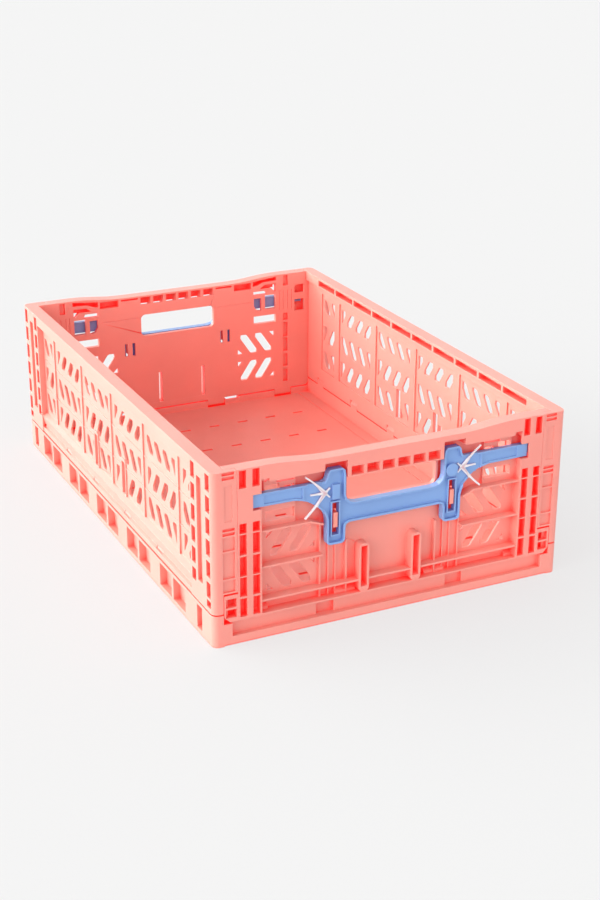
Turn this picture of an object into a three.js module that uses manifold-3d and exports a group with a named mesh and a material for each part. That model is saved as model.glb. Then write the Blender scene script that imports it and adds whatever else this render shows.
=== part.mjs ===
// Collapsible Euro-size storage crate: a base tray, two long walls, two short end walls with a sliding
// latch each, and the latches' star springs. Millimetres, +Z up, origin at the centre of the footprint
// on the ground, X across the crate and Y along it.
//
// Both kinds of wall are drawn in a wall frame: u runs to the right as seen from outside, d is the depth
// behind the outer face, z is the height. The scene graph stands each wall on its side of the tray.
import * as THREE from "three";
import { mergeVertices } from "three/addons/utils/BufferGeometryUtils.js";
import Module from "manifold-3d";

const wasm = await Module();
wasm.setup();

// ---------------------------------------------------------------- driving dimensions
const LENGTH = 600; // along Y
const WIDTH = 400; // along X
const HEIGHT = 186;
const GAP = 0.3; // clearance between neighbouring pieces
const SKIN = 2.6; // moulded sheet
const RIB = 2; // stiffening rib
const PLAN_RADIUS = 7; // rounded vertical corners of the crate

const END = { depth: 15, layer: 6, half: 173, bottom: 25.8, footHalf: 188, footTop: 55 };
const END_INNER = { half: 188.4, upperHalf: 184.7, shoulder: 173.5 }; // inner layer, narrower under the rims
const END_HINGE = { depth: 12, z: 20, pin: 2, bore: 2.4, legs: [[40, 64], [138, 162]] };
const SIDE = { depth: 11.3, skinFront: 7.2, fieldDepth: 9.6, bottom: 36, post: 245 };
const SIDE_RIM = { depth: 15, bottom: 174 };
const SIDE_RETURN = { width: 26.7, bottom: 57 }; // the plate that turns the corner
const SIDE_HINGE = { depth: 7, z: 40.3, pin: 1.8, bore: 2.3, hook: 4.2, halfWidth: 8.6 };
const SIDE_HINGES = [51.5, 150, 247]; // distances of the hinges from the middle
const TRAY = { floor: 16, floorSheet: 3.5, railTop: 34.5, endTop: 24, endFace: 6.6, bandTop: 10 };
const LATCH = { front: 1, armFront: 3, back: 9, lip: 2.2, web: 4.5 };
const SPRING = { front: 2.3, back: 4.2, hub: [78.2, 143.5], hubRadius: 2.8 };
const PANEL = 100; // pitch of the long wall's panels

const HALF_L = LENGTH / 2;
const HALF_W = WIDTH / 2;
const SIGNS = [-1, 1];

// ---------------------------------------------------------------- solids
function toSolid(geometry) {
  geometry.deleteAttribute("normal");
  geometry.deleteAttribute("uv");
  const merged = mergeVertices(geometry, 1e-4);
  return new wasm.Manifold(new wasm.Mesh({
    numProp: 3,
    vertProperties: new Float32Array(merged.attributes.position.array),
    triVerts: new Uint32Array(merged.index.array),
  }));
}

function toGeometry(solid) {
  const mesh = solid.asOriginal().simplify(0.002).getMesh();
  const geometry = new THREE.BufferGeometry();
  geometry.setAttribute("position", new THREE.BufferAttribute(Float32Array.from(mesh.vertProperties), 3));
  geometry.setIndex(new THREE.BufferAttribute(Uint32Array.from(mesh.triVerts), 1));
  const flat = geometry.toNonIndexed();
  flat.computeVertexNormals();
  return flat;
}

const join = (...parts) => parts.flat().reduce((a, b) => a.add(b));
const cut = (solid, ...tools) => solid.subtract(join(...tools));

function box(x0, x1, y0, y1, z0, z1) {
  const geometry = new THREE.BoxGeometry(Math.abs(x1 - x0), Math.abs(y1 - y0), Math.abs(z1 - z0));
  return toSolid(geometry.translate((x0 + x1) / 2, (y0 + y1) / 2, (z0 + z1) / 2));
}

// The same box on both sides of the middle plane x = 0.
const pair = (x0, x1, y0, y1, z0, z1) => SIGNS.map((s) => box(s * x0, s * x1, y0, y1, z0, z1));

// A closed outline, a list of [a, b], extruded from c0 to c1. The axes give the directions of a, b and c.
function extrude(outline, c0, c1, axes) {
  const points = () => outline.map((p) => new THREE.Vector2(...p));
  const shape = outline instanceof THREE.Shape ? outline : new THREE.Shape(points());
  const options = { depth: Math.abs(c1 - c0), bevelEnabled: false, curveSegments: 4 };
  const geometry = new THREE.ExtrudeGeometry(shape, options);
  const basis = new THREE.Matrix4().makeBasis(...axes.map((v) => new THREE.Vector3(...v)));
  return toSolid(geometry.applyMatrix4(basis));
}

// Outline in (x, z), from y0 to y1.
function sheet(outline, y0, y1) {
  return extrude(outline, y0, y1, [[1, 0, 0], [0, 0, 1], [0, -1, 0]]).translate([0, y1, 0]);
}

// Outline in (y, z), from x0 to x1.
function profile(outline, x0, x1) {
  return extrude(outline, x0, x1, [[0, 1, 0], [0, 0, 1], [1, 0, 0]]).translate([x0, 0, 0]);
}

// Outline in (x, y), from z0 to z1.
function plan(outline, z0, z1) {
  return extrude(outline, z0, z1, [[1, 0, 0], [0, 1, 0], [0, 0, 1]]).translate([0, 0, z0]);
}

// A round bar along x.
function rod(radius, x0, x1, y, z, sides = 10) {
  const geometry = new THREE.CylinderGeometry(radius, radius, Math.abs(x1 - x0), sides);
  return toSolid(geometry.rotateZ(Math.PI / 2).translate((x0 + x1) / 2, y, z));
}

const mirrored = (outline) => outline.map(([x, z]) => [-x, z]).reverse();

function roundedRectangle(x0, x1, y0, y1, radius) {
  const shape = new THREE.Shape();
  shape.moveTo(x0 + radius, y0);
  shape.absarc(x1 - radius, y0 + radius, radius, -Math.PI / 2, 0);
  shape.absarc(x1 - radius, y1 - radius, radius, 0, Math.PI / 2);
  shape.absarc(x0 + radius, y1 - radius, radius, Math.PI / 2, Math.PI);
  shape.absarc(x0 + radius, y0 + radius, radius, Math.PI, 1.5 * Math.PI);
  return shape;
}

// Moves every side of a counter-clockwise outline inwards by t.
function inset(outline, t) {
  const n = outline.length;
  const normal = (a, b) => {
    const length = Math.hypot(b[0] - a[0], b[1] - a[1]);
    return [-(b[1] - a[1]) / length, (b[0] - a[0]) / length];
  };
  return outline.map((p, i) => {
    const before = normal(outline[(i + n - 1) % n], p);
    const after = normal(p, outline[(i + 1) % n]);
    const scale = t / (1 + before[0] * after[0] + before[1] * after[1]);
    return [p[0] + (before[0] + after[0]) * scale, p[1] + (before[1] + after[1]) * scale];
  });
}

// ---------------------------------------------------------------- slanted slots
// One slanted slot in (x, z) with blunt corners. lean is +1 for "/" and -1 for "\\".
function slantedSlot(x, z, width, height, slant, lean) {
  const half = height / 2;
  const blunt = 0.3 * width;
  const nip = 0.12 * width;
  const tilt = slant / height;
  const side = (sign, level) => [sign * (width / 2) + level * tilt, level];
  const [right, left] = [1, -1];
  const outline = [
    [side(left, -half)[0] + blunt, -half],
    [side(right, -half)[0] - nip, -half],
    side(right, -half + nip),
    side(right, half - blunt * 1.3),
    [side(right, half)[0] - blunt, half],
    [side(left, half)[0] + nip, half],
    side(left, half - nip),
    side(left, -half + blunt * 1.3),
  ].map(([a, b]) => [x + a, z + b]);
  return lean > 0 ? outline : outline.map(([a, b]) => [2 * x - a, b]).reverse();
}

// A row of slanted slots between x0 and x1, clipped to that window.
function slotRow(x0, x1, z0, z1, lean, depth) {
  const pitch = 24;
  const phase = 8.4;
  const [width, slant] = [13, 13.5];
  const middle = (x0 + x1) / 2;
  const reach = Math.ceil((x1 - x0) / 2 / pitch) + 1;
  const slots = [];
  for (let i = -reach; i <= reach; i++) {
    const x = middle + lean * (i * pitch + phase);
    const outside = x + 8 < x0 || x - 8 > x1;
    const outline = slantedSlot(x, (z0 + z1) / 2, width, z1 - z0, slant, lean);
    if (!outside) slots.push(sheet(outline, -1, depth + 1));
  }
  return join(slots).intersect(box(x0, x1, -2, depth + 2, z0, z1));
}

// ---------------------------------------------------------------- end wall
const END_LOOPS = [-34, 26]; // raised loops around upright slots, low on the wall

// The top edge dips in the middle.
function endTopEdge(half) {
  const dip = 4.5;
  const [flat, high] = [75, 140];
  const edge = [[half, HEIGHT]];
  for (let i = 0; i <= 4; i++) {
    const t = i / 4;
    const rise = (1 - Math.cos(Math.PI * (1 - t))) / 2;
    edge.push([high + (flat - high) * t, HEIGHT - dip * (1 - rise)]);
  }
  return [...edge, ...mirrored(edge)];
}

function endSilhouette() {
  const { half, footHalf, bottom, footTop, layer, depth } = END;
  const { half: innerHalf, upperHalf, shoulder } = END_INNER;
  const [chamfer, innerChamfer] = [6, 3];
  const foot = [[footHalf - chamfer, bottom], [footHalf, bottom + chamfer], [footHalf, footTop],
    [half, footTop]];
  const outer = [...foot, ...endTopEdge(half), ...mirrored(foot)];
  const flank = [[innerHalf - innerChamfer, bottom], [innerHalf, bottom + innerChamfer],
    [innerHalf, shoulder], [upperHalf, shoulder]];
  const inner = [...flank, ...endTopEdge(upperHalf), ...mirrored(flank)];
  return join(sheet(outer, 0, layer), sheet(inner, layer, depth));
}

function endFrame() {
  const back = END.depth - SKIN;
  const upper = HEIGHT + 1;
  const { half: innerHalf, upperHalf, shoulder } = END_INNER;
  const ribs = [
    box(-190, 190, back, END.depth, END.bottom, upper), // skin
    box(-190, 190, 0, back, END.bottom, 27.8), // bottom flange
    box(-148, 148, 1, back, 40, 42), // upper bottom ledge
    box(-END.half, END.half, 0, back, 175.3, upper), // top beam
    box(-54.5, 54.5, 0, back, 157, upper), // beam over the hand hole
    ...pair(79.5, 139, 0, back, 168, upper), // beam over the latch arms
    ...pair(139, END.half, 0, back, 171.5, upper),
    ...pair(147.5, END.half, 0, back, END.bottom, upper), // ladder columns
    ...pair(END.half, 190, 0, END.layer, END.bottom, END.footTop), // feet beside the corner posts
    ...pair(innerHalf - RIB, innerHalf, END.layer, back, END.bottom, shoulder), // edge flange
    ...pair(upperHalf - RIB, innerHalf, END.layer, back, shoulder - RIB, shoulder),
    ...pair(upperHalf - RIB, upperHalf, END.layer, back, shoulder, upper),
    ...pair(END.half, upperHalf, END.layer, back, 183.5, upper),
    ...pair(107, 148, 9.6, back, 114.5, 176), // curved ribs behind the latch arms
    ...pair(79, 81, 9, back, 27, 112), // panel frame, vertical
    ...pair(80, 148, 1.5, back, 76, 78), // panel divider
    ...pair(93, 148, 1.5, back, 114.5, 116.5), // latch pocket floor
    ...pair(50.5, 52.3, 7, back, 27, 87), // column guide ribs
    ...pair(61.5, 63, 10, back, 27, 84),
    ...pair(69.5, 71, 10, back, 27, 84),
    ...pair(64.2, 68.9, 2, back, 104.5, 120.5), // latch guide tabs
    sheet(roundedRectangle(-53, 53, 125, 159, 7), 9.6, back), // hand hole collar
  ];
  const slant = [[80, 109.3], [93.5, 114.5], [93.5, 116.5], [79, 111]];
  ribs.push(sheet(slant, 1.5, back), sheet(mirrored(slant), 1.5, back));
  for (const x of END_LOOPS) ribs.push(sheet(roundedRectangle(x - 5.7, x + 5.7, 27, 81, 5), 0.5, back));
  return join(ribs).intersect(endSilhouette());
}

// Pockets and windows of the ladder columns; their cross ribs are what is left between the cuts.
function endLadders() {
  const outside = [[165.8, 184.3], [118.6, 129], [95.6, 117.2], [72.8, 93.7], [50.8, 71.6], [28.8, 48.7]];
  const inside = [[170, 184], [122, 132], [98.5, 119], [78, 97], [56.5, 74.6], [35, 52.4]];
  const tools = [];
  for (const [z0, z1] of outside) {
    tools.push(...pair(149.3, 157, -1, 9.3, z0, z1));
    tools.push(...pair(163.4, 171.1, -1, 9.3, z0, z1));
  }
  for (const [z0, z1] of inside) tools.push(...pair(151, 158, 11, 16, z0, z1));
  for (const [z0, z1] of [[41.5, 51], [30.6, 39.5]]) {
    tools.push(...pair(174.8, 186.3, -1, 4.8, z0, z1));
    tools.push(...pair(174.8, 182.5, -1, 7, z0, z1));
  }
  for (const [z0, z1] of [[133.3, 149], [158, 169]]) tools.push(...pair(168, 181.5, 10, 16, z0, z1));
  for (const x of [146, 151, 157.5, 163.5]) tools.push(...pair(x - 0.4, x + 0.4, 14.3, 16, 137, 164));
  return tools;
}

// Openings of the top beam: z-shaped pockets in the middle, boxes and slits on the inside.
function endBeamPockets() {
  const tools = [];
  const back = END.depth - SKIN;
  const [pitch, halfWidth] = [17.4, 7];
  const section = [[-1, 158.3], [back, 158.3], [back, 169.8], [16, 169.8], [16, 179.3], [2.6, 179.3],
    [2.6, 167.8], [-1, 167.8]];
  for (let i = 0; i < 6; i++) {
    const x = (i - 2.5) * pitch;
    tools.push(profile(section, x - halfWidth, x + halfWidth));
  }
  tools.push(...pair(80, 105, 4, 16, 170.8, 179.6));
  tools.push(...pair(54, 76.5, 10, 16, 177.2, 179.4));
  const sloped = [[107, 173.5], [113, 174.5], [122, 178], [141, 178.5], [141, 183.8], [107, 180.5]];
  tools.push(sheet(sloped, 4, 16), sheet(mirrored(sloped), 4, 16));
  return tools;
}

// Windows behind each latch arm, left between s-shaped ribs.
function endArmWindows() {
  const windows = [
    [[117, 169.5], [133, 169.5], [138.5, 164], [140.2, 164], [140.2, 174.5], [124, 174.5]],
    [[107.8, 161.5], [127.5, 161.5], [125, 166.5], [107.8, 166.5]],
    [[108.5, 157], [108.5, 147], [112, 141], [119.5, 139], [119.5, 157]],
    [[124.5, 140.5], [140, 140.5], [140, 160], [124.5, 160]],
    [[108, 122], [140.2, 122], [140.2, 132.5], [108, 132.5]],
  ];
  return windows.flatMap((w) => [sheet(w, 8, 16), sheet(mirrored(w), 8, 16)]);
}

function endHerringbone() {
  const tools = [];
  const depth = END.depth;
  const [width, height, slant, leg] = [12, 26.5, 18, 7];
  for (const side of SIGNS) {
    for (const [z, lean] of [[96, -side], [59, side]]) {
      for (const x of [100.2, 121.7]) {
        tools.push(sheet(slantedSlot(side * x, z, width, height, slant, lean), -1, depth + 1));
      }
      // small triangles in the two corners that the slots leave free
      for (const [x, end] of [[84.5, -1], [137.5, 1]]) {
        const up = -end * side * lean;
        const [cx, cz] = [side * x, z + up * (height / 2)];
        const triangle = [[cx, cz], [cx - side * end * leg, cz], [cx, cz - up * leg]];
        tools.push(sheet(triangle, -1, depth + 1));
      }
    }
  }
  return tools;
}

function endWall() {
  const { depth } = END;
  const { legs, pin, depth: axis, z } = END_HINGE;
  const tools = [
    sheet(roundedRectangle(-50.5, 50.5, 127.5, 156, 6), -1, depth + 1), // hand hole
    ...pair(59.6, 63.4, 11, 16, 102.7, 119.7), // slits beside the guide tabs
    ...pair(69.7, 73.5, 11, 16, 102.7, 119.7),
    ...pair(141.3, 156.5, -1, 11.5, 140.4, 156.9), // arm slot, open to the front
    ...pair(141.3, 182.7, 2.7, 11.5, 140.4, 165.2), // arm channel behind the ladder's face
    ...pair(54, 105, 14.4, 16, 152.5, 153.3), // groove inside
    ...END_LOOPS.map((x) => box(x - 3.6, x + 3.6, -1, depth - SKIN, 33, 78)),
    ...END_LOOPS.map((x) => box(x - 2.4, x + 2.4, 12, 16, 34, 75)),
    ...endLadders(), ...endBeamPockets(), ...endArmWindows(), ...endHerringbone(),
  ];
  const knuckles = [];
  const round = 4;
  for (const side of SIGNS) {
    for (const [x0, x1] of legs) {
      const section = [[axis - round, z], [axis - round * 0.7, z - round * 0.7], [axis, z - round],
        [axis + 2.2, z - 3.3], [axis + 3, z - 1.5], [axis + 3, 33], [axis, 33], [axis - round, 30]];
      knuckles.push(profile(section, Math.min(side * x0, side * x1), Math.max(side * x0, side * x1)));
      knuckles.push(rod(pin, side * (x0 - 3), side * (x0 + 1), axis, z));
    }
    knuckles.push(rod(pin, side * (legs[1][1] - 1), side * (legs[1][1] + 3), axis, z));
  }
  return cut(endFrame(), tools).add(join(knuckles));
}

// ---------------------------------------------------------------- long wall
const SIDE_MARGIN = 10.5; // from a panel boundary to its slots

// The panels' left and right edges; the outermost ones are cut short by the end posts.
function sidePanels() {
  const panels = [];
  for (let i = -3; i < 3; i++) {
    const [left, right] = [i * PANEL + SIDE_MARGIN, (i + 1) * PANEL - SIDE_MARGIN];
    panels.push([Math.max(left, -240), Math.min(right, 240)]);
  }
  return panels;
}

function sideSlots() {
  const rows = [[139, 158], [99.5, 122], [64.5, 87]];
  const tools = [];
  sidePanels().forEach(([x0, x1], panel) => {
    rows.forEach(([z0, z1], row) => {
      const lean = (panel + row) % 2 === 0 ? -1 : 1;
      tools.push(slotRow(x0, x1, z0, z1, lean, SIDE.depth));
    });
  });
  return join(tools);
}

// A raised loop around an upright slot, low on the wall.
const LOOPS = [-53.5, 36.6];
const LOOP = { front: 5.6, bottom: 57, top: 103, half: 7.2, slotHalf: 5, radius: 5 };

function sideRibs() {
  const { skinFront } = SIDE;
  const ribs = [];
  for (let i = -2; i <= 2; i++) ribs.push(box(i * PANEL - 1.6, i * PANEL + 1.6, 5.4, skinFront + 1, 50, 175));
  for (const z of [130.5, 93.2]) ribs.push(box(-240, 240, 6.4, skinFront + 1, z - 0.8, z + 0.8));
  return ribs;
}

// The wall's end on the u > 0 side: a post with two ladders of pockets, and the plate that turns the corner.
function sidePost() {
  return [
    box(SIDE.post, HALF_L, 0, SIDE.depth, SIDE.bottom, HEIGHT),
    box(HALF_L - END.layer + GAP, HALF_L, 0, SIDE_RETURN.width, SIDE_RETURN.bottom, HEIGHT),
  ];
}

function sidePostPockets() {
  const tools = [];
  const face = HALF_L + 1;
  const pitch = 22.8;
  for (let i = 0; i < 6; i++) {
    const top = 182.3 - i * pitch;
    const height = i < 5 ? 17 : 13;
    tools.push(box(248, 257.5, -1, 8.6, top - height, top));
    tools.push(box(284.5, 294.2, -1, 8.6, top - 17, top));
  }
  tools.push(box(284.5, 294.2, -1, 8.6, 41, 48.5));
  tools.push(box(263, 275, -1, 4, 60, 172)); // groove between the ladders
  // end face: two-bar notches, recessed windows and a plain label field
  for (const z of [177.6, 119.4]) {
    for (const offset of [0, 4.6]) tools.push(box(297.4, face, 11.2, 24, z + offset, z + offset + 3));
  }
  for (const [z0, z1] of [[58.8, 71.4], [73.4, 101], [103, 117]]) {
    tools.push(box(297.6, face, 11.2, 24, z0, z1));
  }
  tools.push(box(299.2, face, 13.5, 22, 134, 171));
  return tools;
}

function bothEnds(parts) {
  return parts.flatMap((p) => [p, p.mirror([1, 0, 0])]);
}

// Shallow fields on the inner face, one around each panel's slots, and pockets along the rim.
function sideFields() {
  const { fieldDepth, depth } = SIDE;
  const tools = sidePanels().map(([x0, x1]) => box(x0 - 4.5, x1 + 4.5, fieldDepth, depth + 1, 59.5, 165));
  for (let i = 0; i < 10; i++) {
    const x = (i - 4.5) * (PANEL / 2);
    tools.push(box(x - 23, x + 23, 5, SIDE_RIM.depth + 1, 175.6, 183));
  }
  return tools;
}

function sideWall() {
  const { depth, skinFront, bottom } = SIDE;
  const { depth: axis, z: axisZ, pin, hook, halfWidth } = SIDE_HINGE;
  const notch = halfWidth + 0.6;
  const ledge = [[depth, bottom], [depth, 60], [skinFront, 60], [1, 56.5], [4.2, 42.4], [0.8, 41],
    [0.8, bottom]];
  const loops = LOOPS.map((x) => sheet(
    roundedRectangle(x - LOOP.half, x + LOOP.half, LOOP.bottom, LOOP.top, LOOP.radius), LOOP.front, depth));
  const skin = box(-HALF_L, HALF_L, skinFront, depth, bottom, HEIGHT).subtract(sideSlots());
  const tools = [
    ...LOOPS.map((x) => box(x - LOOP.slotHalf, x + LOOP.slotHalf, -1, depth + 1, 61, 99)),
    ...bothEnds(sidePostPockets()),
    ...sideFields(),
    profile([[depth - 1, bottom - 1], [depth + 1, bottom - 1], [depth + 1, bottom + 1], [depth, bottom + 1]],
      -HALF_L, HALF_L), // lets the lower inner edge turn over the rail
  ];
  const pins = [];
  for (const y of SIDE_HINGES.flatMap((p) => [-p, p])) {
    tools.push(box(y - notch, y + notch, axis - hook - 0.5, depth + 1, bottom - 1, axisZ + hook + 0.5));
    pins.push(rod(pin, y - notch - 0.5, y + notch + 0.5, axis, axisZ, 8));
  }
  const rim = box(-HALF_L, HALF_L, 0, SIDE_RIM.depth, SIDE_RIM.bottom, HEIGHT);
  const body = join(skin, rim, profile(ledge, -HALF_L, HALF_L), sideRibs(), loops, bothEnds(sidePost()));
  const corners = plan(roundedRectangle(-HALF_L, HALF_L, 0, 60, PLAN_RADIUS), 0, HEIGHT + 1);
  const inside = box(-HALF_L, HALF_L, -1, SIDE_RETURN.width, bottom, HEIGHT);
  return cut(body, tools).add(join(pins)).intersect(corners).intersect(inside);
}

// ---------------------------------------------------------------- base tray
// A snap hook for the long wall's moulded pin, in (x, z) for the left rail.
function hookOutline(x, z) {
  const { bore, hook: outer } = SIDE_HINGE;
  const outline = [[x + outer, TRAY.railTop - 1], [x + outer, z]];
  const [open, steps] = [Math.PI * 0.32, 5];
  outline.push([x + outer * Math.cos(open), z + outer * Math.sin(open)]);
  for (let i = 0; i <= 2 * steps; i++) {
    const a = open - ((2 * Math.PI - (Math.PI - 2 * open)) * i) / (2 * steps);
    outline.push([x + bore * Math.cos(a), z + bore * Math.sin(a)]);
  }
  outline.push([x - outer * Math.cos(open), z + outer * Math.sin(open)]);
  outline.push([x - outer, z], [x - outer, TRAY.railTop - 1]);
  return outline.reverse();
}

// The left long rail: pairs of deep windows outside, a row of hooks on top.
function sideRail() {
  const inner = HALF_W - SIDE.depth;
  const shift = 8.5; // the windows stand a little behind the panels above them
  const windows = [[-271, -258], [268, 281]];
  const tools = [];
  for (let i = -2; i <= 2; i++) {
    const middle = i * PANEL + shift;
    windows.push([middle - 35.5, middle - 2.5], [middle + 2.5, middle + 35.5]);
  }
  for (const [y0, y1] of windows) tools.push(box(-HALF_W - 1, -HALF_W + 8, y0, y1, 5.5, 31));
  const hooks = [];
  for (const y of SIDE_HINGES.flatMap((p) => [-p, p])) {
    const outline = hookOutline(-HALF_W + SIDE_HINGE.depth, SIDE_HINGE.z);
    hooks.push(sheet(outline, y - SIDE_HINGE.halfWidth, y + SIDE_HINGE.halfWidth));
  }
  return join(cut(box(-HALF_W, -inner, -HALF_L, HALF_L, 0, TRAY.railTop), tools), hooks);
}

function endRail() {
  const { endTop, endFace, bandTop } = TRAY;
  const { legs, bore, depth: axis, z } = END_HINGE;
  const inner = -HALF_L + 16;
  const recess = 179.5;
  const rail = cut(
    box(-190, 190, -HALF_L, inner, 0, endTop),
    box(-recess, recess, -HALF_L - 1, -HALF_L + endFace, bandTop, endTop + 1), // bay for the folded posts
    box(-176, 176, -HALF_L + 3, inner - 3, -1, 9), // hollow from below
    box(-188, 188, -HALF_L - 1, -HALF_L + 1.4, -1, 1.8), // shadow line along the ground
  );
  const tools = [];
  for (const [x0, x1] of legs) {
    const pinSides = x0 > 100 ? [x0 - 3.4, x1 + 3.4] : [x0 - 3.4, x1];
    tools.push(...pair(x0 - 0.6, x1 + 0.6, -HALF_L + axis - 4.6, inner + 2, 14, endTop + 1));
    for (const s of SIGNS) tools.push(rod(bore, s * pinSides[0], s * pinSides[1], -HALF_L + axis, z));
  }
  // finger notches: a pocket outside that opens inwards near the top only
  tools.push(...pair(65.3, 85, -HALF_L - 1, -HALF_L + 11, bandTop, endTop + 1));
  tools.push(...pair(65.3, 85, -HALF_L - 1, inner + 1, 21.5, endTop + 1));
  return { rail, tools };
}

function trayFloor() {
  const top = TRAY.floor;
  const under = top - TRAY.floorSheet;
  const rowPitch = 72;
  const solids = [box(-190, 190, -HALF_L + 2, HALF_L - 2, under, top)];
  for (const x of [-80, 0, 80]) solids.push(box(x - 1, x + 1, -290, 290, 2, under + 1));
  for (const y of [-252, -108, 108, 252]) solids.push(box(-190, 190, y - 1, y + 1, 2, under + 1));
  const tools = [];
  for (const x of [20, 60, 100, 140]) {
    for (let row = -3; row <= 3; row++) {
      const y = row * rowPitch;
      tools.push(...pair(x - 7, x + 7, y - 2.2, y + 2.2, top - 2.6, top + 1)); // blind slots
    }
  }
  tools.push(...pair(172, 173.6, -282, 282, top - 0.9, top + 1)); // drain groove
  return { solid: join(solids), tools };
}

function baseTray() {
  const half = (solid) => [solid, solid.rotate([0, 0, 180])];
  const { rail, tools: railTools } = endRail();
  const { solid: floor, tools: floorTools } = trayFloor();
  const ends = join(half(rail), floor);
  const cutEnds = cut(ends, floorTools, railTools.flatMap(half));
  const reach = box(-HALF_W, HALF_W, -HALF_L, HALF_L, 0, 60);
  const corners = plan(roundedRectangle(-HALF_W, HALF_W, -HALF_L, HALF_L, PLAN_RADIUS), 0, 60);
  const bay = box(-179.5, 179.5, -HALF_L - 1, -HALF_L + TRAY.endFace, TRAY.bandTop, 60);
  return cut(join(cutEnds, half(sideRail())), half(bay)).intersect(reach).intersect(corners);
}

// ---------------------------------------------------------------- latch
// Right half of the latch seen from outside, from the bottom of the grip round to its top.
function latchOutline() {
  const half = [
    [0, 107.8], [51.5, 107.8], [54.8, 106.2], [55.9, 103], [55.9, 90.5], [57, 87.8], [59.5, 86.5],
    [72.7, 86.5], [75.2, 87.8], [76.3, 90.5], [76.3, 113], [77.6, 119], [81, 124.8], [87, 130.5],
    [94.5, 135.7], [102.5, 139.4], [111, 141.2], [156, 141.7], [156, 155.6], [82, 155.2], [78, 156.8],
    [76.2, 160], [75.6, 164], [73, 167.6], [59.5, 167.6], [56.8, 165], [55.9, 160], [55.9, 138.5],
    [54.3, 133.7], [50.3, 129.7], [43.5, 128.2], [0, 128.2],
  ];
  return [...half, ...mirrored(half.slice(1, -1))];
}

function latch() {
  const { front, armFront, back, lip, web } = LATCH;
  const outline = latchOutline();
  const slot = { x0: 62.7, x1: 70.3, z0: 96.5, z1: 131.5 }; // the wall's guide tab runs in it
  const rim = lip - 0.6;
  const body = cut(
    sheet(outline, front, back),
    pair(79, 160, 0, armFront, 80, 175), // the arms lie deeper than the grip
    sheet(inset(outline, lip), 0, web),
  );
  const disc = toSolid(new THREE.CylinderGeometry(7, 7, 4.5, 24)).translate([65.3, 2.85, 142.8]);
  const solids = [
    ...pair(slot.x0 - rim, slot.x1 + rim, front + 1, back, slot.z0 - rim, slot.z1 + rim),
    disc,
    box(-70.5, -62.3, front + 0.2, web + 1, 135.2, 151), // boss on the other column
    ...pair(143.5, 156, armFront, back, 141.85, 155.4), // end blocks
    ...pair(152, 180, 6.3, back, 144, 154.2), // bolts
    ...pair(100.5, 102.3, armFront, back, 139.5, 154.5),
  ];
  const lowerGap = [[82, 133.5], [89, 139], [97, 133.5], [90, 126]];
  return cut(
    body.add(join(solids)),
    pair(slot.x0, slot.x1, 0, back + 1, slot.z0, slot.z1),
    pair(71.5, 99.5, 0, web, 136, 150.8), // bay for the spring
    pair(82, 97, 0, web, 148, 160), // its legs leave the arm above and below
    sheet(lowerGap, 0, web), sheet(mirrored(lowerGap), 0, web),
  );
}

// ---------------------------------------------------------------- latch spring
// A tapering strip between two points in (x, z).
function strip(a, b, widthA, widthB, y0, y1) {
  const length = Math.hypot(b[0] - a[0], b[1] - a[1]);
  const [nx, nz] = [-(b[1] - a[1]) / length / 2, (b[0] - a[0]) / length / 2];
  const corner = (p, width) => [p[0] + nx * width, p[1] + nz * width];
  return sheet([corner(a, -widthA), corner(b, -widthB), corner(b, widthB), corner(a, widthA)], y0, y1);
}

function spring(side) {
  const { front, back, hub, hubRadius } = SPRING;
  const tips = [[[72.4, 148.2], 1.6], [[72.6, 138.2], 1.6], [[94, 144], 1.6], [[100, 164.4], 1.7],
    [[100.5, 119.2], 2]];
  const strips = tips.map(([tip, width]) => strip(hub, tip, 3.2, width, front, back));
  const ring = [];
  for (let i = 0; i < 8; i++) {
    const a = ((i + 0.5) * Math.PI) / 4;
    ring.push([hub[0] + hubRadius * Math.cos(a), hub[1] + hubRadius * Math.sin(a)]);
  }
  const star = join(strips, sheet(ring, front, back));
  return side > 0 ? star : star.mirror([1, 0, 0]);
}

// ---------------------------------------------------------------- materials and assembly
const CORAL = { color: 0xf6897a, roughness: 0.42, metalness: 0 };
const BLUE = { color: 0x7da5e1, roughness: 0.35, metalness: 0 };
const PALE = { color: 0xf3e6e4, roughness: 0.4, metalness: 0 };

function part(name, solid, finish) {
  const mesh = new THREE.Mesh(toGeometry(solid), new THREE.MeshStandardMaterial(finish));
  mesh.name = name;
  return mesh;
}

// Stands wall parts on one side of the tray: turn is the angle about Z, in quarter turns.
function stand(turn, distance, ...parts) {
  const group = new THREE.Group();
  group.rotation.z = (turn * Math.PI) / 2;
  const holder = new THREE.Group();
  holder.position.y = -distance;
  holder.add(...parts);
  group.add(holder);
  return group;
}

const crate = new THREE.Group();
crate.add(part("base_tray", baseTray(), CORAL));
const longWall = sideWall();
crate.add(stand(-1, HALF_W, part("side_wall_left", longWall, CORAL)));
crate.add(stand(1, HALF_W, part("side_wall_right", longWall, CORAL)));
const shortWall = endWall();
const bar = latch();
for (const [end, turn] of [["front", 0], ["rear", 2]]) {
  crate.add(stand(turn, HALF_L,
    part(`end_wall_${end}`, shortWall, CORAL),
    part(`latch_${end}`, bar, BLUE),
    part(`latch_spring_${end}_left`, spring(-1), PALE),
    part(`latch_spring_${end}_right`, spring(1), PALE)));
}

export default crate;
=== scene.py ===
"""Looks of the collapsible storage crate: satin coral shells, blue latches and pale star springs.

The CAD nodes keep their mesh and place; modifiers round their edges. Units are metres unless a
name or comment says millimetres.
"""
import math
import bmesh
import bpy
from mathutils import Matrix, Vector


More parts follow.
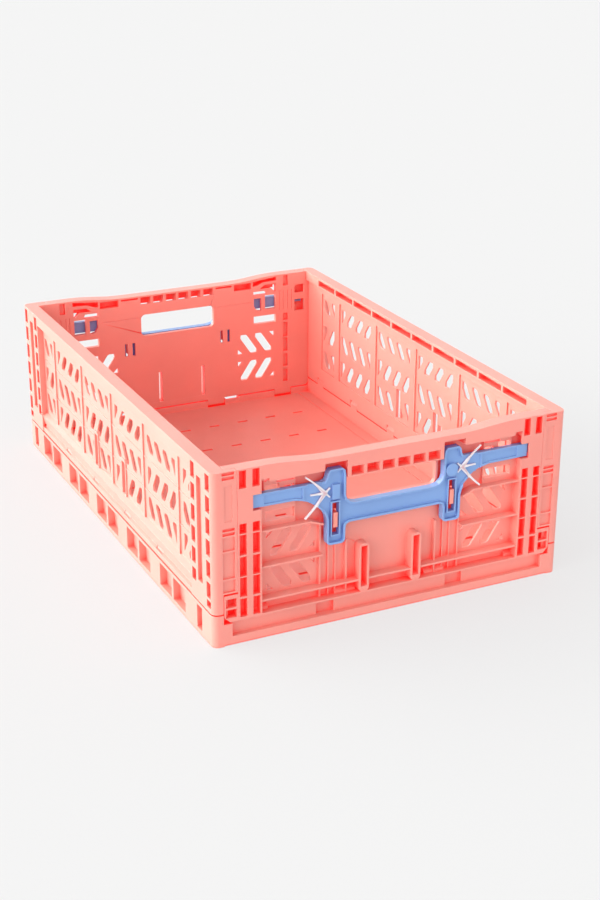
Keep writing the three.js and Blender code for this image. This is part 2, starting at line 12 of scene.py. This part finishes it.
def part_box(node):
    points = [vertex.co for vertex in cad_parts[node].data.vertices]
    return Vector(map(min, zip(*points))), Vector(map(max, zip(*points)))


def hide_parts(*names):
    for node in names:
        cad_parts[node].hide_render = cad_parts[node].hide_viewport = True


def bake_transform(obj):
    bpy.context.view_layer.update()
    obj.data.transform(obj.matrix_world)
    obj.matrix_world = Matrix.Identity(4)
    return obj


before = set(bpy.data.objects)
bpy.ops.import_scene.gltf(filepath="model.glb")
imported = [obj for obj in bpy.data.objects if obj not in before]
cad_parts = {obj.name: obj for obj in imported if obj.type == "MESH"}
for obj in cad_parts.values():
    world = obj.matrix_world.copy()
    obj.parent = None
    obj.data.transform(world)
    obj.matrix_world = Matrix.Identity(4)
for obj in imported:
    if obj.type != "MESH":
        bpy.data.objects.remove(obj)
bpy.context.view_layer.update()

MM = 0.001

# rounded edges of the mouldings
SHELL_ROUNDING = 0.3 * MM
LATCH_ROUNDING = 0.4 * MM
WELD_REACH = 0.005 * MM
SHARP_EDGE = math.radians(28)

# star springs, in millimetres from the lower corner of the spring's box nearer the crate's middle;
# an arm is its tip, its width at the hub and at the tip, and how far it bows
HUB = (6.1, 24.7)
UPPER_ARMS = [
    ((27.6, 45.2), 4.0, 1.7, 0.03),
    ((0.7, 29.4), 3.4, 1.6, 0),
    ((0.9, 19.6), 3.4, 1.6, 0),
    ((22.0, 25.2), 3.6, 1.6, 0),
    ((15.5, 34.5), 3.6, 1.2, -0.06),
]
LOWER_ARMS = [
    ((28.0, 0.9), 4.0, 2.0, -0.03),
    ((14.5, 11.5), 3.6, 1.2, 0.06),
]
# heights between which a half goes over from riding on the wall to riding on the latch
UPPER_BEND = (45.2, 31.0)
LOWER_BEND = (0.9, 19.0)
# share of an arm's half width that is cut off its corners, and how fast it narrows: it has its tip
# width after 1 / ARM_TAPER of its length
ARM_CHAMFER = 0.3
ARM_TAPER = 1.6

# the soft sky: where its low band ends (sine of the elevation), where the key stands, how narrow it
# is, how bright each part is, and the tint of its dim and bright parts
LOW_BAND = (0.52, 0.72)
KEY_HEADING = (-0.92, 0.39, 0.0)
KEY_FOCUS = 2.0
KEY_LEVEL = 7.4
SIDE_LEVEL = 0.75
TOP_LEVEL = 0.6
DIM_TO_BRIGHT = (0.5, 4.0)
COOL = (0.95, 0.98, 1.0, 1)
WARM = (1.0, 0.985, 0.96, 1)

# the paper sweep: how much light it scatters, how much haze lies on it, half its side
PAPER_WHITE = (0.138, 0.142)
PAPER_HAZE = 0.693
PAPER_HALF = 30.0


# ---------------------------------------------------------------- geometry
def soften(obj, width):
    """Rounds the edges of a faceted CAD node without touching its mesh."""
    weld = obj.modifiers.new("weld", "WELD")
    weld.merge_threshold = WELD_REACH
    bevel = obj.modifiers.new("rounded_edges", "BEVEL")
    bevel.offset_type = "ABSOLUTE"
    bevel.width = width
    bevel.segments = 2
    bevel.limit_method = "ANGLE"
    bevel.angle_limit = SHARP_EDGE
    bevel.use_clamp_overlap = False
    bevel.loop_slide = False
    bevel.harden_normals = False


def blunt_section():
    """The corners of an arm's cross-section, going round a square of half side 1."""
    full, cut = 1, 1 - ARM_CHAMFER
    return [(full, -cut), (full, cut), (cut, full), (-cut, full),
            (-full, cut), (-full, -cut), (-cut, -full), (cut, -full)]


def tapered_bar(mesh, path, widths, y0, y1):
    """Adds a closed bar with blunt edges: path is a list of (x, z), widths has one value per point."""
    section = blunt_section()
    deep = (y1 - y0) / 2
    middle = (y0 + y1) / 2
    rings = []
    for index, (x, z) in enumerate(path):
        before, after = path[max(index - 1, 0)], path[min(index + 1, len(path) - 1)]
        along = Vector((after[0] - before[0], after[1] - before[1])).normalized()
        side = Vector((-along.y, along.x))
        half = widths[index] / 2
        rings.append([mesh.verts.new((x + side.x * half * a, middle + deep * b, z + side.y * half * a))
                      for a, b in section])
    for first, second in zip(rings, rings[1:]):
        for i in range(len(section)):
            j = (i + 1) % len(section)
            mesh.faces.new((first[i], first[j], second[j], second[i]))
    mesh.faces.new(rings[0][::-1])
    mesh.faces.new(rings[-1])


def bowed(a, b, bow, steps=10):
    """Points from a to b on a shallow arc; bow is its rise as a share of the span."""
    span = Vector((b[0] - a[0], b[1] - a[1]))
    side = Vector((-span.y, span.x))
    points = []
    for i in range(steps + 1):
        t = i / steps
        lift = bow * 4 * t * (1 - t)
        points.append((a[0] + span.x * t + side.x * lift, a[1] + span.y * t + side.y * lift))
    return points


def spring_piece(name, node, arms, bend, wall, latch, mirrored):
    """One half of a star spring: bars from the hub; bend, wall and latch are not used."""
    low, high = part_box(node)
    edge = high.x if mirrored else low.x
    turn = -1 if mirrored else 1
    mesh = bmesh.new()
    for tip, hub_width, tip_width, bow in arms:
        path = [(edge + turn * x * MM, low.z + z * MM) for x, z in bowed(HUB, tip, bow)]
        last = len(path) - 1
        shares = [min(1, ARM_TAPER * i / last) for i in range(last + 1)]
        widths = [(hub_width + (tip_width - hub_width) * share) * MM for share in shares]
        tapered_bar(mesh, path, widths, low.y, high.y)
    bmesh.ops.recalc_face_normals(mesh, faces=mesh.faces)
    data = bpy.data.meshes.new(name)
    mesh.to_mesh(data)
    mesh.free()
    obj = bpy.data.objects.new(name, data)
    bpy.context.scene.collection.objects.link(obj)
    data.materials.append(PALE)
    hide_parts(node)
    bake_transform(obj)


# ---------------------------------------------------------------- materials
class Graph:
    """A small helper that adds nodes to the node tree of a material or a world."""

    def __init__(self, owner):
        owner.use_nodes = True
        self.tree = owner.node_tree
        self.tree.nodes.clear()

    def node(self, kind, settings=None, **inputs):
        made = self.tree.nodes.new(kind)
        for key, value in (settings or {}).items():
            setattr(made, key, value)
        for key, value in inputs.items():
            self.feed(made.inputs[key.replace("_", " ")], value)
        return made

    def feed(self, socket, value):
        if isinstance(value, bpy.types.NodeSocket):
            self.tree.links.new(value, socket)
        else:
            socket.default_value = value

    def noise(self, where, scale, detail=2.0, rough=0.5):
        made = self.node("ShaderNodeTexNoise", None, Vector=where, Scale=scale, Detail=detail,
                         Roughness=rough)
        return made.outputs[0]

    def mix(self, factor, a, b, kind="MIX"):
        made = self.node("ShaderNodeMix", {"data_type": "RGBA", "blend_type": kind})
        for index, value in ((0, factor), (6, a), (7, b)):
            self.feed(made.inputs[index], value)
        return made.outputs[2]

    def remap(self, value, low, high, to_low, to_high):
        made = self.node("ShaderNodeMapRange")
        for index, item in enumerate((value, low, high, to_low, to_high)):
            self.feed(made.inputs[index], item)
        return made.outputs[0]

    def vector(self, operation, a, b=None):
        made = self.node("ShaderNodeVectorMath", {"operation": operation})
        self.feed(made.inputs[0], a)
        if b is not None:
            self.feed(made.inputs[1], b)
        return made.outputs

    def math(self, operation, a, b):
        made = self.node("ShaderNodeMath", {"operation": operation})
        self.feed(made.inputs[0], a)
        self.feed(made.inputs[1], b)
        return made.outputs[0]


def moulded_plastic(name, color, edge, deep, roughness, translucence_and_painted_glow):
    """Moulded plastic: clouded colour, painted highlight on rounded edges, painted shade and painted
    light in deep pockets, fine skin.
    """
    pocket_reach = 14 * MM
    edge_radius = 0.7 * MM
    edge_highlight_share = 0.75
    skin_depth = 0.05 * MM
    painted_emission_gain = 1.6
    material = bpy.data.materials.new(name)
    g = Graph(material)
    where = g.node("ShaderNodeTexCoord").outputs["Object"]
    clouds = g.noise(where, 9.0, 3.0)
    grain = g.noise(where, 900.0, 2.0)
    skin = g.noise(where, 2400.0, 2.0, 0.6)

    base = g.mix(1.0, (*color, 1), g.remap(clouds, 0.3, 0.7, 0.94, 1.04), "MULTIPLY")
    # painted shade: recesses found by ambient occlusion are mixed towards the deep colour; depth is this
    # painted shade mask
    cover = g.node("ShaderNodeAmbientOcclusion", {"samples": 8}, Distance=pocket_reach).outputs["AO"]
    depth = g.remap(cover, 0.15, 0.6, 1.0, 0.0)
    base = g.mix(depth, base, (*deep, 1))
    # painted highlight: edges that the Bevel node finds rounded are mixed towards the paler edge colour
    rounded = g.node("ShaderNodeBevel", {"samples": 4}, Radius=edge_radius).outputs["Normal"]
    flat = g.node("ShaderNodeNewGeometry").outputs["Normal"]
    edge_highlight_mask = g.vector("DOT_PRODUCT", rounded, flat)["Value"]
    base = g.mix(g.remap(edge_highlight_mask, 0.99, 0.8, 0.0, edge_highlight_share), base, (*edge, 1))

    rough = g.remap(grain, 0.3, 0.7, roughness - 0.05, roughness + 0.07)
    bump = g.node("ShaderNodeBump", None, Strength=0.25, Distance=skin_depth, Height=skin, Normal=rounded)
    body = g.node("ShaderNodeBsdfPrincipled", None, Base_Color=base, Roughness=rough, IOR=1.49,
                  Normal=bump.outputs["Normal"])
    # painted light: the pockets emit their deep colour in place of light seeping through the sheet; the
    # subsurface weight is the plastic's own translucence
    body.inputs["Emission Color"].default_value = (*deep, 1)
    g.feed(body.inputs["Emission Strength"], g.math("MULTIPLY", depth, translucence_and_painted_glow * painted_emission_gain))
    body.inputs["Subsurface Weight"].default_value = translucence_and_painted_glow
    body.inputs["Subsurface Radius"].default_value = (1.0, 0.45, 0.35)
    body.inputs["Subsurface Scale"].default_value = 3 * MM
    g.node("ShaderNodeOutputMaterial", None, Surface=body.outputs["BSDF"])
    return material


# color is each plastic's own colour; edge is a painted highlight on rounded edges, deep the painted shade
# and emitted light in pockets
CORAL = moulded_plastic("coral_shell", color=(0.86, 0.288, 0.238), edge=(0.91, 0.44, 0.375),
                        deep=(0.93, 0.022, 0.016), roughness=0.42, translucence_and_painted_glow=0.12)
BLUE = moulded_plastic("blue_latch", color=(0.21, 0.355, 0.67), edge=(0.42, 0.57, 0.84),
                       deep=(0.08, 0.12, 0.40), roughness=0.36, translucence_and_painted_glow=0.1)
PALE = moulded_plastic("pale_spring", color=(0.80, 0.74, 0.78), edge=(0.92, 0.89, 0.91),
                       deep=(0.62, 0.34, 0.38), roughness=0.38, translucence_and_painted_glow=0.2)


# ---------------------------------------------------------------- pieces
def finish_node(name, material, rounding):
    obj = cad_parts[name]
    obj.data.materials.clear()
    obj.data.materials.append(material)
    soften(obj, rounding)


def finish_end(end):
    """The latch of one end and the two halves of each of its springs."""
    finish_node(f"latch_{end}", BLUE, LATCH_ROUNDING)
    for hand in ("left", "right"):
        # hands are as seen from outside, so they swap sides between the front and the rear
        mirrored = (hand == "left") != (end == "rear")
        node = f"latch_spring_{end}_{hand}"
        bodies = (f"{end}_wall", f"{end}_latch")
        spring_piece(f"spring_upper_{end}_{hand}", node, UPPER_ARMS, UPPER_BEND, *bodies, mirrored)
        spring_piece(f"spring_lower_{end}_{hand}", node, LOWER_ARMS, LOWER_BEND, *bodies, mirrored)


for shell in ("base_tray", "side_wall_left", "side_wall_right", "end_wall_front", "end_wall_rear"):
    finish_node(shell, CORAL, SHELL_ROUNDING)
for end in ("front", "rear"):
    finish_end(end)


# ---------------------------------------------------------------- studio
def studio_floor():
    """A pale paper floor with a little haze on it."""
    material = bpy.data.materials.new("studio_floor")
    g = Graph(material)
    where = g.node("ShaderNodeTexCoord").outputs["Object"]
    paper = g.remap(g.noise(where, 300.0), 0.3, 0.7, *PAPER_WHITE)
    tone = g.mix(1.0, (1.0, 1.0, 1.0, 1), paper, "MULTIPLY")
    sheet = g.node("ShaderNodeBsdfDiffuse", None, Color=tone)
    haze = g.node("ShaderNodeEmission", None, Color=(1.0, 1.0, 1.0, 1), Strength=PAPER_HAZE)
    both = g.node("ShaderNodeAddShader")
    g.feed(both.inputs[0], sheet.outputs[0])
    g.feed(both.inputs[1], haze.outputs[0])
    g.node("ShaderNodeOutputMaterial", None, Surface=both.outputs[0])
    mesh = bpy.data.meshes.new("floor")
    corners = [(x * PAPER_HALF, y * PAPER_HALF, 0) for x, y in ((-1, -1), (1, -1), (1, 1), (-1, 1))]
    mesh.from_pydata(corners, [], [(0, 1, 2, 3)])
    mesh.materials.append(material)
    floor = bpy.data.objects.new("floor", mesh)
    bpy.context.scene.collection.objects.link(floor)


def softbox_dome():
    """Large soft sources as one sky: bright low on the left and behind, weaker in front, dim overhead."""
    world = bpy.data.worlds.new("studio")
    g = Graph(world)
    toward = g.node("ShaderNodeTexCoord").outputs["Generated"]
    height = g.node("ShaderNodeSeparateXYZ", None, Vector=toward).outputs["Z"]
    low = g.remap(height, *LOW_BAND, 1.0, 0.0)
    level = g.vector("MULTIPLY", toward, (1.0, 1.0, 0.0))["Vector"]
    heading = g.vector("NORMALIZE", level)["Vector"]
    facing = g.vector("DOT_PRODUCT", heading, KEY_HEADING)["Value"]
    lobe = g.math("POWER", g.math("MAXIMUM", facing, 0.0), KEY_FOCUS)
    around = g.math("ADD", g.math("MULTIPLY", lobe, KEY_LEVEL), SIDE_LEVEL)
    strength = g.math("ADD", g.math("MULTIPLY", around, low), TOP_LEVEL)
    tone = g.mix(g.remap(strength, *DIM_TO_BRIGHT, 0.0, 1.0), COOL, WARM)
    sky = g.node("ShaderNodeBackground", None, Color=tone, Strength=strength)
    g.node("ShaderNodeOutputWorld", None, Surface=sky.outputs[0])
    bpy.context.scene.world = world


def camera():
    """Stands a little above the crate, turned to the left of its front end."""
    azimuth, elevation, roll = math.radians(-25.90), math.radians(22.21), math.radians(0.24)
    distance, target = 1.8514, Vector((0.0161, -0.0465, 0.080))
    back = Vector((math.sin(azimuth) * math.cos(elevation),
                   -math.cos(azimuth) * math.cos(elevation), math.sin(elevation)))
    level = Vector((math.cos(azimuth), math.sin(azimuth), 0))
    right = level * math.cos(roll) + back.cross(level) * math.sin(roll)
    data = bpy.data.cameras.new("camera")
    data.sensor_width = 36.0
    data.lens = 64.6
    data.clip_start, data.clip_end = 0.05, 100.0
    made = bpy.data.objects.new("camera", data)
    axes = Matrix((right, back.cross(right), back)).transposed().to_4x4()
    made.matrix_world = Matrix.Translation(target + back * distance) @ axes
    bpy.context.scene.collection.objects.link(made)
    bpy.context.scene.camera = made


studio_floor()
softbox_dome()
camera()
bpy.context.scene.view_settings.view_transform = "Standard"
